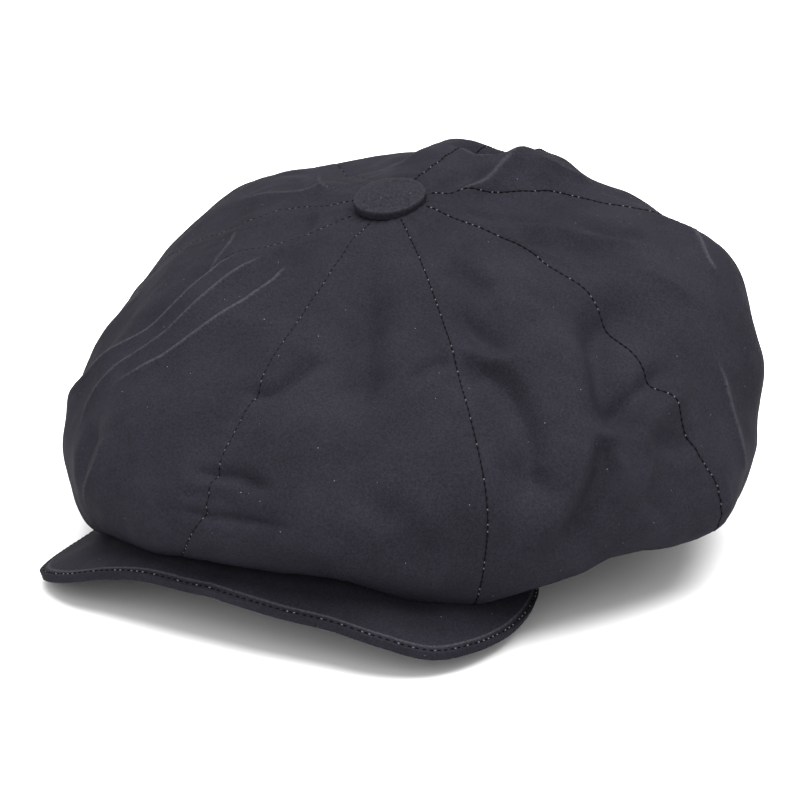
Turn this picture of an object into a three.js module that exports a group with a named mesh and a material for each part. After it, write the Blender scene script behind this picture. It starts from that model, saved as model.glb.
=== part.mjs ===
// A waxed newsboy cap: eight crown panels that meet under a covered button, a stiff peak and a sweatband.
// Millimetres, +Z up. The front is -Y and the wearer's left is +X. Azimuths are measured round the
// head in degrees, from the front towards the wearer's left.
import * as THREE from 'three';

// Driving dimensions
const HEAD = {
  length: 200, // inside of the sweatband, front to back
  width: 168, // inside of the sweatband, side to side
};
const BAND = {
  wall: 2,
  height: 30,
  frontLift: 30, // height of the band's lower edge in front, where the peak props it up
  restShare: 0.5, // share of the half length, behind the middle, where the lower edge leaves the surface
  liftBend: 1.3, // how softly the lower edge leaves the surface
};
const CROWN = {
  reach: 150, // from the button to the widest point of the crown
  height: 140, // from the surface to the cloth under the button
  wall: 1.4,
  tiltLeft: 0.07, // slope of the cloth under the button, rising to the wearer's left
  tiltBack: 0.17, // slope of the cloth under the button, rising to the back
  apexHole: 2.5, // radius of the gap where the eight panel tips meet
  sectionLength: 1.6, // from button to hem along the cloth, as a share of reach
  widestShare: 0.625, // how far down a section the crown is widest
};
const BUTTON = {
  diameter: 29,
  rim: 3.4, // straight side of the covered disc
  dome: 3.2, // rise of the top above the side
  footShare: 0.94, // radius of the underside as a share of the button's
  footRise: 0.3, // share of the side where its lower edge has turned upright
};
const PEAK = {
  depth: 55, // from the band to the edge, where the peak is deepest
  thickness: 3.5,
  arch: 21, // how much higher the edge is in the middle than at its corners
  halfAngle: 70, // azimuth where the peak runs out along the band
};
const CLEARANCE = 0.3; // between pieces that touch
const PANELS = 8;

// How finely the curved pieces are faceted
const FACETS = { panelColumns: 12, panelRows: 19, band: 72, peakColumns: 40, peakRows: 5, button: 32 };

// Sections of the crown, one row for each seam and each panel's middle. Every length runs from the
// button: reach columns are shares of CROWN.reach, and height columns shares of CROWN.height.
const SECTIONS = [
  { at: 0, crestReach: 0.27, crestHeight: 0.905, shoulderReach: 0.68, shoulderHeight: 0.655,
    bellyReach: 0.945, bellyHeight: 0.37, foldReach: 0.965, foldHeight: 0.26 },
  { at: 22.5, crestReach: 0.27, crestHeight: 0.915, shoulderReach: 0.69, shoulderHeight: 0.68,
    bellyReach: 0.94, bellyHeight: 0.38, foldReach: 0.95, foldHeight: 0.245 },
  { at: 45, crestReach: 0.28, crestHeight: 0.93, shoulderReach: 0.66, shoulderHeight: 0.72,
    bellyReach: 0.92, bellyHeight: 0.4, foldReach: 0.93, foldHeight: 0.165 },
  { at: 67.5, crestReach: 0.28, crestHeight: 0.95, shoulderReach: 0.68, shoulderHeight: 0.78,
    bellyReach: 0.93, bellyHeight: 0.44, foldReach: 0.92, foldHeight: 0.18 },
  { at: 90, crestReach: 0.28, crestHeight: 0.965, shoulderReach: 0.68, shoulderHeight: 0.815,
    bellyReach: 0.92, bellyHeight: 0.48, foldReach: 0.955, foldHeight: 0.2 },
  { at: 112.5, crestReach: 0.29, crestHeight: 0.98, shoulderReach: 0.79, shoulderHeight: 0.845,
    bellyReach: 0.97, bellyHeight: 0.6, foldReach: 0.945, foldHeight: 0.19 },
  { at: 135, crestReach: 0.3, crestHeight: 0.985, shoulderReach: 0.82, shoulderHeight: 0.875,
    bellyReach: 0.985, bellyHeight: 0.64, foldReach: 0.93, foldHeight: 0.16 },
  { at: 157.5, crestReach: 0.34, crestHeight: 1.05, shoulderReach: 0.75, shoulderHeight: 0.935,
    bellyReach: 1, bellyHeight: 0.58, foldReach: 0.93, foldHeight: 0.13 },
  { at: 180, crestReach: 0.34, crestHeight: 1.075, shoulderReach: 0.7, shoulderHeight: 0.965,
    bellyReach: 0.99, bellyHeight: 0.53, foldReach: 0.92, foldHeight: 0.11 },
  { at: 202.5, crestReach: 0.36, crestHeight: 1.03, shoulderReach: 0.75, shoulderHeight: 0.925,
    bellyReach: 0.98, bellyHeight: 0.5, foldReach: 0.92, foldHeight: 0.11 },
  { at: 225, crestReach: 0.36, crestHeight: 0.985, shoulderReach: 0.79, shoulderHeight: 0.89,
    bellyReach: 0.98, bellyHeight: 0.5, foldReach: 0.92, foldHeight: 0.11 },
  { at: 247.5, crestReach: 0.34, crestHeight: 0.98, shoulderReach: 0.77, shoulderHeight: 0.855,
    bellyReach: 0.98, bellyHeight: 0.5, foldReach: 0.9, foldHeight: 0.12 },
  { at: 270, crestReach: 0.28, crestHeight: 0.96, shoulderReach: 0.68, shoulderHeight: 0.785,
    bellyReach: 0.915, bellyHeight: 0.45, foldReach: 0.88, foldHeight: 0.12 },
  { at: 292.5, crestReach: 0.27, crestHeight: 0.94, shoulderReach: 0.61, shoulderHeight: 0.765,
    bellyReach: 0.875, bellyHeight: 0.39, foldReach: 0.86, foldHeight: 0.115 },
  { at: 315, crestReach: 0.26, crestHeight: 0.925, shoulderReach: 0.63, shoulderHeight: 0.72,
    bellyReach: 0.88, bellyHeight: 0.35, foldReach: 0.88, foldHeight: 0.115 },
  { at: 337.5, crestReach: 0.26, crestHeight: 0.91, shoulderReach: 0.65, shoulderHeight: 0.68,
    bellyReach: 0.92, bellyHeight: 0.37, foldReach: 0.935, foldHeight: 0.2 },
];

// Outline of the peak, one row for each section to either side of the middle. At is a share of
// PEAK.halfAngle, depth a share of PEAK.depth beyond the band, and the two rises are shares of
// PEAK.arch on the wearer's left and right.
const PEAK_EDGE = [
  { at: 0, depth: 0.64, leftRise: 0.95, rightRise: 0.95 },
  { at: 0.17, depth: 0.7, leftRise: 0.8, rightRise: 0.97 },
  { at: 0.29, depth: 0.8, leftRise: 0.66, rightRise: 0.78 },
  { at: 0.4, depth: 0.95, leftRise: 0.48, rightRise: 0.46 },
  { at: 0.51, depth: 1, leftRise: 0.25, rightRise: 0.2 },
  { at: 0.6, depth: 0.92, leftRise: 0.1, rightRise: 0.05 },
  { at: 0.69, depth: 0.76, leftRise: 0.03, rightRise: 0.02 },
  { at: 0.77, depth: 0.6, leftRise: 0.06, rightRise: 0.08 },
  { at: 0.86, depth: 0.4, leftRise: 0.26, rightRise: 0.28 },
  { at: 0.93, depth: 0.2, leftRise: 0.46, rightRise: 0.46 },
  { at: 1, depth: 0.06, leftRise: 0.6, rightRise: 0.6 },
];

// Main folds and dents of the crown, one row for each. A fold runs between two places, each an
// azimuth and a share of the way from the button to the hem. Width and depth are shares of
// CROWN.reach: a positive depth is a ridge and a negative one a dent.
const FOLDS = [
  { name: 'right ridge, rear', at: 308, down: 0.24, toAt: 306, toDown: 0.56, width: 0.045, depth: 0.014 },
  { name: 'right ridge, middle', at: 318, down: 0.19, toAt: 317, toDown: 0.54, width: 0.045, depth: 0.014 },
  { name: 'right ridge, front', at: 332, down: 0.21, toAt: 322, toDown: 0.52, width: 0.045, depth: 0.014 },
  { name: 'right corner dent', at: 316, down: 0.56, toAt: 313, toDown: 0.72, width: 0.06, depth: -0.02 },
  { name: 'front valley', at: 8, down: 0.13, toAt: 25, toDown: 0.45, width: 0.07, depth: -0.022 },
  { name: 'front seam dent', at: 0, down: 0.42, toAt: 12, toDown: 0.37, width: 0.055, depth: -0.012 },
  { name: 'front wrinkle, upper', at: 352, down: 0.58, toAt: 12, toDown: 0.58, width: 0.055, depth: -0.014 },
  { name: 'front wrinkle, lower', at: 351, down: 0.66, toAt: 22, toDown: 0.66, width: 0.055, depth: -0.014 },
  { name: 'brow dent', at: 33, down: 0.4, toAt: 44, toDown: 0.38, width: 0.055, depth: -0.014 },
  { name: 'temple hollow, upper', at: 47, down: 0.38, toAt: 54, toDown: 0.46, width: 0.06, depth: -0.024 },
  { name: 'temple hollow, lower', at: 54, down: 0.46, toAt: 55, toDown: 0.6, width: 0.06, depth: -0.024 },
  { name: 'button dent, front', at: 58, down: 0.2, toAt: 63, toDown: 0.28, width: 0.055, depth: -0.014 },
  { name: 'button dent, side', at: 50, down: 0.28, toAt: 57, toDown: 0.38, width: 0.055, depth: -0.014 },
  { name: 'side ridge', at: 75, down: 0.38, toAt: 66, toDown: 0.52, width: 0.055, depth: 0.022 },
  { name: 'side valley', at: 82, down: 0.38, toAt: 72, toDown: 0.54, width: 0.06, depth: -0.026 },
  { name: 'ear valley', at: 97, down: 0.36, toAt: 89, toDown: 0.42, width: 0.06, depth: -0.02 },
  { name: 'ear ridge', at: 90, down: 0.51, toAt: 72, toDown: 0.57, width: 0.055, depth: 0.022 },
  { name: 'jaw ridge', at: 65, down: 0.54, toAt: 51, toDown: 0.74, width: 0.055, depth: 0.022 },
  { name: 'jaw valley', at: 68, down: 0.56, toAt: 57, toDown: 0.71, width: 0.06, depth: -0.024 },
  { name: 'left top ridge', at: 88, down: 0.24, toAt: 105, toDown: 0.42, width: 0.055, depth: 0.014 },
  { name: 'left back crease', at: 103, down: 0.52, toAt: 102, toDown: 0.7, width: 0.055, depth: 0.014 },
  { name: 'back seam crease', at: 132, down: 0.4, toAt: 120, toDown: 0.47, width: 0.055, depth: 0.014 },
  { name: 'back hollow', at: 178, down: 0.13, toAt: 161, toDown: 0.3, width: 0.06, depth: -0.05 },
  { name: 'back ridge', at: 140, down: 0.09, toAt: 150, toDown: 0.26, width: 0.06, depth: 0.03 },
  { name: 'back top ridge', at: 196, down: 0.1, toAt: 188, toDown: 0.34, width: 0.06, depth: 0.024 },
  { name: 'back hump', at: 146, down: 0.19, toAt: 158, toDown: 0.32, width: 0.08, depth: 0.036 },
  { name: 'right top ridge', at: 261, down: 0.3, toAt: 253, toDown: 0.08, width: 0.06, depth: 0.01 },
  { name: 'back right dent', at: 232, down: 0.3, toAt: 226, toDown: 0.56, width: 0.07, depth: -0.03 },
  { name: 'back left dent', at: 166, down: 0.42, toAt: 172, toDown: 0.68, width: 0.07, depth: -0.03 },
  { name: 'nape wrinkle', at: 192, down: 0.62, toAt: 214, toDown: 0.66, width: 0.06, depth: -0.024 },
  { name: 'right side dent', at: 276, down: 0.5, toAt: 270, toDown: 0.7, width: 0.06, depth: -0.024 },
];

const TURN = 360;
const radians = THREE.MathUtils.degToRad;

// Smooth value of one column at an azimuth, by a cubic curve through the rows on either side
function along(rows, column, at, closed) {
  const count = rows.length;
  const row = (i) => {
    const turns = closed ? Math.floor(i / count) : 0;
    const index = closed ? i - turns * count : THREE.MathUtils.clamp(i, 0, count - 1);
    return { at: rows[index].at + turns * TURN, value: rows[index][column] };
  };
  let i = 0;
  while (i < count - 1 && rows[i + 1].at <= at) i += 1;
  const before = row(i - 1);
  const start = row(i);
  const end = row(i + 1);
  const after = row(i + 2);
  if (end.at === start.at) return start.value;
  const span = end.at - start.at;
  const share = (at - start.at) / span;
  const startSlope = ((end.value - before.value) / (end.at - before.at)) * span;
  const endSlope = ((after.value - start.value) / (after.at - start.at)) * span;
  const s2 = share * share;
  const s3 = s2 * share;
  return (2 * s3 - 3 * s2 + 1) * start.value + (s3 - 2 * s2 + share) * startSlope
    + (3 * s2 - 2 * s3) * end.value + (s3 - s2) * endSlope;
}

// Radius of the head oval at an azimuth
function headRadius(azimuth) {
  const halfWidth = HEAD.width / 2;
  const halfLength = HEAD.length / 2;
  const a = radians(azimuth);
  return (halfWidth * halfLength) / Math.hypot(halfLength * Math.sin(a), halfWidth * Math.cos(a));
}

// Height of the band's lower edge: on the surface behind, and lifted by the peak in front
function bandFoot(azimuth) {
  const halfLength = HEAD.length / 2;
  const y = -headRadius(azimuth) * Math.cos(radians(azimuth));
  const leave = halfLength * BAND.restShare;
  const share = Math.max(0, (leave - y) / (leave + halfLength));
  return BAND.frontLift * share ** BAND.liftBend;
}

// Radius at which the pieces outside the band start
function bandSeat(azimuth) {
  return headRadius(azimuth) + BAND.wall + CLEARANCE;
}

// Signed azimuth from the front, positive to the wearer's left
function fromFront(azimuth) {
  return azimuth > TURN / 2 ? azimuth - TURN : azimuth;
}

// Radius and height of the peak's edge at an azimuth
function peakEdge(azimuth) {
  const side = fromFront(azimuth);
  const at = Math.min(Math.abs(side) / PEAK.halfAngle, 1);
  const rise = along(PEAK_EDGE, side >= 0 ? 'leftRise' : 'rightRise', at, false);
  return {
    radius: bandSeat(azimuth) + PEAK.depth * along(PEAK_EDGE, 'depth', at, false),
    height: PEAK.thickness + PEAK.arch * rise,
  };
}

// Height of the peak's upper face at a share of the way from the band to its edge
function peakTop(azimuth, share) {
  const root = bandFoot(azimuth) + PEAK.thickness;
  return THREE.MathUtils.lerp(root, peakEdge(azimuth).height, share);
}

// Lifts a point of the crown onto the peak where it would sink into it
function restOnPeak(point) {
  const azimuth = THREE.MathUtils.euclideanModulo(
    THREE.MathUtils.radToDeg(Math.atan2(point.x, -point.y)), TURN);
  if (Math.abs(fromFront(azimuth)) > PEAK.halfAngle) return point;
  const radius = Math.hypot(point.x, point.y);
  const seat = bandSeat(azimuth);
  const share = (radius - seat) / (peakEdge(azimuth).radius - seat);
  if (share > 1) return point;
  point.z = Math.max(point.z, peakTop(azimuth, Math.max(share, 0)) + CLEARANCE);
  return point;
}

// Control points of one section of the crown, from the edge of the button to the hem
function sectionStations(azimuth) {
  const a = radians(azimuth);
  const share = (column) => along(SECTIONS, column, azimuth, true);
  const seat = BUTTON.diameter / 2 + CROWN.wall;
  const slope = CROWN.tiltLeft * Math.sin(a) - CROWN.tiltBack * Math.cos(a);
  const station = (name) => new THREE.Vector2(
    CROWN.reach * share(`${name}Reach`), CROWN.height * share(`${name}Height`));
  return [
    new THREE.Vector2(0, CROWN.height),
    new THREE.Vector2(seat, CROWN.height + slope * seat),
    station('crest'),
    station('shoulder'),
    station('belly'),
    station('fold'),
    new THREE.Vector2(bandSeat(azimuth), bandFoot(azimuth) + PEAK.thickness + CROWN.wall),
  ];
}

// Depth of the folds at an azimuth and a share of the way to the hem
function foldDepth(azimuth, share) {
  let depth = 0;
  for (const fold of FOLDS) {
    const middle = (fold.toDown + fold.down) / 2;
    const spread = Math.sin(Math.min(middle / CROWN.widestShare, 1) * (Math.PI / 2));
    const across = radians(1) * CROWN.reach * spread;
    const down = CROWN.reach * CROWN.sectionLength;
    const turned = (angle) => fromFront(THREE.MathUtils.euclideanModulo(angle, TURN));
    const point = new THREE.Vector2(turned(azimuth - fold.at) * across, (share - fold.down) * down);
    const run = new THREE.Vector2(
      turned(fold.toAt - fold.at) * across, (fold.toDown - fold.down) * down);
    const shareAlong = THREE.MathUtils.clamp(point.dot(run) / run.lengthSq(), 0, 1);
    const distance = point.distanceTo(run.multiplyScalar(shareAlong));
    depth += fold.depth * CROWN.reach * Math.exp(-((distance / (fold.width * CROWN.reach)) ** 2));
  }
  return depth;
}

// Bare crown, before its folds: a point at an azimuth and a share of the way from button to hem
function crownPoint(azimuth, share) {
  const stations = sectionStations(azimuth);
  const steps = [];
  for (let i = 1; i < stations.length - 1; i += 1) {
    steps.push(Math.sqrt(stations[i].distanceTo(stations[i + 1])));
  }
  let left = share * steps.reduce((sum, step) => sum + step, 0);
  let i = 0;
  while (i < steps.length - 1 && left > steps[i]) {
    left -= steps[i];
    i += 1;
  }
  const last = stations.length - 1;
  const ahead = stations[Math.min(i + 3, last)];
  const spline = new THREE.CatmullRomCurve3();
  const flat = (p) => new THREE.Vector3(p.x, p.y, 0);
  spline.points = [flat(stations[i]), flat(stations[i + 1]), flat(stations[i + 2]), flat(ahead)];
  spline.curveType = 'centripetal';
  const point = spline.getPoint((1 + Math.min(left / steps[i], 1)) / 3);
  const a = radians(azimuth);
  return new THREE.Vector3(point.x * Math.sin(a), -point.x * Math.cos(a), point.y);
}

// Outward direction of the bare crown
function crownNormal(azimuth, share) {
  const turn = 2;
  const step = 0.02;
  const lower = crownPoint(azimuth, Math.min(share + step, 1));
  const down = lower.sub(crownPoint(azimuth, Math.max(share - step, 0)));
  const wrap = (at) => THREE.MathUtils.euclideanModulo(at, TURN);
  const round = crownPoint(wrap(azimuth + turn), share).sub(crownPoint(wrap(azimuth - turn), share));
  return down.cross(round).normalize();
}

// Point of the crown's outer or inner face, with its folds and its rest on the peak
function clothPoint(azimuth, share, inward) {
  const wrapped = THREE.MathUtils.euclideanModulo(azimuth, TURN);
  const normal = crownNormal(wrapped, share);
  const point = crownPoint(wrapped, share).addScaledVector(normal, foldDepth(wrapped, share));
  const atHem = share === 1;
  const wallDirection = atHem ? new THREE.Vector3(0, 0, -1) : normal;
  return restOnPeak(point).addScaledVector(wallDirection, -inward);
}

// Closed shell between an outer and an inner grid of points, each a list of columns
function shellGeometry(outer, inner) {
  const columns = outer.length;
  const rows = outer[0].length;
  const points = [...outer.flat(), ...inner.flat()];
  const triangles = [];
  const quad = (a, b, c, d) => triangles.push(a, b, c, a, c, d);
  const out = (i, j) => i * rows + j;
  const back = (i, j) => columns * rows + i * rows + j;
  for (let i = 0; i < columns - 1; i += 1) {
    for (let j = 0; j < rows - 1; j += 1) {
      quad(out(i, j), out(i, j + 1), out(i + 1, j + 1), out(i + 1, j));
      quad(back(i, j), back(i + 1, j), back(i + 1, j + 1), back(i, j + 1));
    }
    quad(out(i, 0), out(i + 1, 0), back(i + 1, 0), back(i, 0));
    quad(out(i + 1, rows - 1), out(i, rows - 1), back(i, rows - 1), back(i + 1, rows - 1));
  }
  for (let j = 0; j < rows - 1; j += 1) {
    quad(out(0, j + 1), out(0, j), back(0, j), back(0, j + 1));
    quad(out(columns - 1, j), out(columns - 1, j + 1), back(columns - 1, j + 1), back(columns - 1, j));
  }
  const geometry = new THREE.BufferGeometry().setFromPoints(points);
  geometry.setIndex(triangles);
  geometry.computeVertexNormals();
  return geometry;
}

// One gore of the crown, from the tip under the button to the hem at the band
function panelGeometry(first) {
  const width = TURN / PANELS;
  const grid = (inward) => {
    const columns = [];
    for (let i = 0; i <= FACETS.panelColumns; i += 1) {
      const side = (2 * i) / FACETS.panelColumns - 1;
      const middle = first + width / 2;
      const column = [];
      const tipInset = THREE.MathUtils.radToDeg(CLEARANCE / 2 / CROWN.apexHole);
      const tipAt = radians(middle + side * (width / 2 - tipInset));
      const slope = CROWN.tiltLeft * Math.sin(tipAt) - CROWN.tiltBack * Math.cos(tipAt);
      column.push(new THREE.Vector3(
        CROWN.apexHole * Math.sin(tipAt),
        -CROWN.apexHole * Math.cos(tipAt),
        CROWN.height + slope * CROWN.apexHole - inward));
      for (let j = 0; j <= FACETS.panelRows; j += 1) {
        const share = j / FACETS.panelRows;
        const reach = Math.hypot(...crownPoint(middle, share).toArray().slice(0, 2));
        const inset = THREE.MathUtils.radToDeg(CLEARANCE / 2 / Math.max(reach, BUTTON.diameter / 2));
        column.push(clothPoint(middle + side * (width / 2 - inset), share, inward));
      }
      columns.push(column);
    }
    return columns;
  };
  return shellGeometry(grid(0), grid(CROWN.wall));
}

// Sweatband: an oval strip that stands on its lower edge
function bandGeometry() {
  const ring = (wall, height) => {
    const points = [];
    for (let i = 0; i < FACETS.band; i += 1) {
      const azimuth = (TURN * i) / FACETS.band;
      const a = radians(azimuth);
      const radius = headRadius(azimuth) + wall;
      points.push(new THREE.Vector3(
        radius * Math.sin(a), -radius * Math.cos(a), bandFoot(azimuth) + height));
    }
    return points;
  };
  const rings = [ring(BAND.wall, 0), ring(BAND.wall, BAND.height), ring(0, BAND.height), ring(0, 0)];
  const triangles = [];
  const corner = (r, i) => (r % rings.length) * FACETS.band + (i % FACETS.band);
  for (let r = 0; r < rings.length; r += 1) {
    for (let i = 0; i < FACETS.band; i += 1) {
      triangles.push(corner(r, i), corner(r, i + 1), corner(r + 1, i + 1));
      triangles.push(corner(r, i), corner(r + 1, i + 1), corner(r + 1, i));
    }
  }
  const geometry = new THREE.BufferGeometry().setFromPoints(rings.flat());
  geometry.setIndex(triangles);
  geometry.computeVertexNormals();
  return geometry;
}

// Peak: a stiff covered board that slopes down from the band and arches across
function peakGeometry() {
  const grid = (drop) => {
    const columns = [];
    for (let i = 0; i <= FACETS.peakColumns; i += 1) {
      const side = PEAK.halfAngle * (1 - (2 * i) / FACETS.peakColumns);
      const azimuth = THREE.MathUtils.euclideanModulo(side, TURN);
      const a = radians(azimuth);
      const column = [];
      for (let j = 0; j <= FACETS.peakRows; j += 1) {
        const share = j / FACETS.peakRows;
        const radius = THREE.MathUtils.lerp(bandSeat(azimuth), peakEdge(azimuth).radius, share);
        column.push(new THREE.Vector3(
          radius * Math.sin(a), -radius * Math.cos(a), peakTop(azimuth, share) - drop));
      }
      columns.push(column);
    }
    return columns;
  };
  return shellGeometry(grid(0).reverse(), grid(PEAK.thickness).reverse());
}

// Covered button: a disc with a low domed top
function buttonGeometry() {
  const radius = BUTTON.diameter / 2;
  const profile = [
    new THREE.Vector2(0, 0),
    new THREE.Vector2(radius * BUTTON.footShare, 0),
    new THREE.Vector2(radius, BUTTON.rim * BUTTON.footRise),
    new THREE.Vector2(radius, BUTTON.rim),
  ];
  const domeSteps = 5;
  for (let i = 1; i < domeSteps; i += 1) {
    const a = (Math.PI / 2) * (i / domeSteps);
    profile.push(new THREE.Vector2(radius * Math.cos(a), BUTTON.rim + BUTTON.dome * Math.sin(a)));
  }
  profile.push(new THREE.Vector2(0, BUTTON.rim + BUTTON.dome));
  const lathe = new THREE.LatheGeometry(profile, FACETS.button);
  lathe.rotateX(Math.PI / 2);
  return lathe;
}

// Finishes
const waxedCotton = new THREE.MeshStandardMaterial({ color: 0x38373e, roughness: 0.72, metalness: 0 });
const peakCotton = new THREE.MeshStandardMaterial({ color: 0x333239, roughness: 0.7, metalness: 0 });
const bandCotton = new THREE.MeshStandardMaterial({ color: 0x232328, roughness: 0.85, metalness: 0 });

function piece(name, geometry, material) {
  const mesh = new THREE.Mesh(geometry, material);
  mesh.name = name;
  return mesh;
}

const PANEL_NAMES = [
  'panel_front_left', 'panel_left_front', 'panel_left_back', 'panel_back_left',
  'panel_back_right', 'panel_right_back', 'panel_right_front', 'panel_front_right',
];

const cap = new THREE.Group();
PANEL_NAMES.forEach((name, i) => {
  cap.add(piece(name, panelGeometry((TURN / PANELS) * i), waxedCotton));
});
cap.add(piece('sweatband', bandGeometry(), bandCotton));
cap.add(piece('peak', peakGeometry(), peakCotton));

// The button lies on the cloth at the crown's apex and takes its tilt
const button = piece('button', buttonGeometry(), waxedCotton);
const buttonUp = new THREE.Vector3(-CROWN.tiltLeft, -CROWN.tiltBack, 1).normalize();
button.quaternion.setFromUnitVectors(new THREE.Vector3(0, 0, 1), buttonUp);
button.position.set(0, 0, CROWN.height);
button.position.addScaledVector(buttonUp, CLEARANCE);
cap.add(button);

// The origin is on the surface, under the middle of the whole cap
cap.updateMatrixWorld(true);
const extent = new THREE.Box3().setFromObject(cap, true);
const middle = extent.getCenter(new THREE.Vector3());
cap.position.set(-middle.x, -middle.y, -extent.min.z);

export default cap;
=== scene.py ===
"""Looks of a waxed newsboy cap: eight crown panels, a covered button, a stiff peak and a sweatband.

Metres, +Z up. The front is -Y and the wearer's left is +X. An azimuth is measured round the head in
degrees, from the front towards the wearer's left. A share runs from the button, 0, to the hem, 1.
"""
import logging
import math
from dataclasses import dataclass, field
from enum import Enum

import bpy
import numpy as np
from mathutils import Matrix, Vector


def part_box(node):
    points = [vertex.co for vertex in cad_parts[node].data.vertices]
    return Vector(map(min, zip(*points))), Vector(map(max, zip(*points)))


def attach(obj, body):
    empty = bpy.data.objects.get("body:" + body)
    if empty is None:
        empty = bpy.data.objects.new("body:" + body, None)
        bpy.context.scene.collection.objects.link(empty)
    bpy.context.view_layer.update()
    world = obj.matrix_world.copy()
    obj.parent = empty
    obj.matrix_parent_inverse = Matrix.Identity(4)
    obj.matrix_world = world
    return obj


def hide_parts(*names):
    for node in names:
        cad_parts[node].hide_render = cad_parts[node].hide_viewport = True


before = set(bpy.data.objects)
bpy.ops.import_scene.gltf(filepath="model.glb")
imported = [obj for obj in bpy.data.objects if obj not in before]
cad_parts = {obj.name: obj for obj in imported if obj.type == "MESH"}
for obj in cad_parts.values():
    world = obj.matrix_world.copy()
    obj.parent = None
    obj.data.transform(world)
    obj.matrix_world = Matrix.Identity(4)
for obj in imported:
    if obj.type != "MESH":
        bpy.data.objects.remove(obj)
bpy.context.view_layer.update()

log = logging.getLogger("cap")

Array = np.ndarray
TURN = 360.0
BODY = "root"


class Crest(Enum):
    """Cross-section of a fold, as the power that its sides fall by."""

    SOFT = 2.0
    FIRM = 1.5
    SHARP = 1.1


@dataclass(frozen=True)
class Section:
    """One section of the crown: reaches as shares of its reach, heights as shares of its height."""

    at: float
    crest: tuple[float, float]
    shoulder: tuple[float, float]
    belly: tuple[float, float]
    fold: tuple[float, float]


@dataclass(frozen=True)
class Fold:
    """One fold of the crown, along places that are each an azimuth and a share.

    Width is how far its sides reach, in metres, and depth how far it stands out: a positive depth
    is a ridge and a negative one a dent. Lean narrows or widens its left side, seen from its start,
    its wear and highlight is how pale its crest is painted, partly for rubbed wax and partly as a
    painted highlight, and ends how much of it tapers at each end.
    """

    name: str
    path: tuple[tuple[float, float], ...]
    width: float
    depth: float
    crest: Crest = Crest.SOFT
    lean: float = 1.0
    wear_and_highlight: float = 0.0
    ends: float = 0.3


@dataclass(frozen=True)
class PeakRow:
    """One section of the peak's outline, as shares of its half angle, depth and arch."""

    at: float
    depth: float
    left_rise: float
    right_rise: float


SECTIONS = (
    Section(0, (0.27, 0.905), (0.68, 0.655), (0.93, 0.37), (0.835, 0.215)),
    Section(22.5, (0.27, 0.915), (0.69, 0.68), (0.93, 0.38), (0.82, 0.19)),
    Section(45, (0.28, 0.93), (0.66, 0.72), (0.915, 0.4), (0.81, 0.117)),
    Section(67.5, (0.28, 0.95), (0.68, 0.78), (0.93, 0.44), (0.885, 0.213)),
    Section(90, (0.28, 0.965), (0.68, 0.815), (0.92, 0.48), (0.955, 0.212)),
    Section(112.5, (0.29, 0.98), (0.79, 0.845), (0.97, 0.6), (0.945, 0.19)),
    Section(135, (0.3, 0.985), (0.82, 0.875), (0.985, 0.64), (0.93, 0.16)),
    Section(157.5, (0.34, 1.05), (0.75, 0.935), (1.0, 0.58), (0.93, 0.13)),
    Section(180, (0.34, 1.075), (0.7, 0.965), (0.99, 0.53), (0.92, 0.11)),
    Section(202.5, (0.36, 1.03), (0.75, 0.925), (0.98, 0.5), (0.92, 0.11)),
    Section(225, (0.36, 0.985), (0.79, 0.89), (0.98, 0.5), (0.92, 0.11)),
    Section(247.5, (0.34, 0.98), (0.77, 0.855), (0.98, 0.5), (0.9, 0.12)),
    Section(270, (0.28, 0.96), (0.68, 0.785), (0.915, 0.45), (0.88, 0.12)),
    Section(292.5, (0.27, 0.94), (0.61, 0.765), (0.875, 0.39), (0.84, 0.115)),
    Section(315, (0.26, 0.925), (0.63, 0.72), (0.88, 0.35), (0.81, 0.11)),
    Section(337.5, (0.26, 0.91), (0.65, 0.68), (0.915, 0.37), (0.85, 0.182)),
)

PEAK_ROWS = (
    PeakRow(0, 0.64, 0.95, 0.95),
    PeakRow(0.17, 0.7, 0.84, 0.97),
    PeakRow(0.29, 0.8, 0.78, 0.78),
    PeakRow(0.4, 0.95, 0.62, 0.46),
    PeakRow(0.51, 1, 0.38, 0.2),
    PeakRow(0.6, 0.92, 0.32, 0.05),
    PeakRow(0.69, 0.76, 0.26, 0.02),
    PeakRow(0.77, 0.6, 0.27, 0.08),
    PeakRow(0.86, 0.4, 0.36, 0.28),
    PeakRow(0.93, 0.2, 0.46, 0.46),
    PeakRow(1, 0.06, 0.6, 0.6),
)

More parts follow.
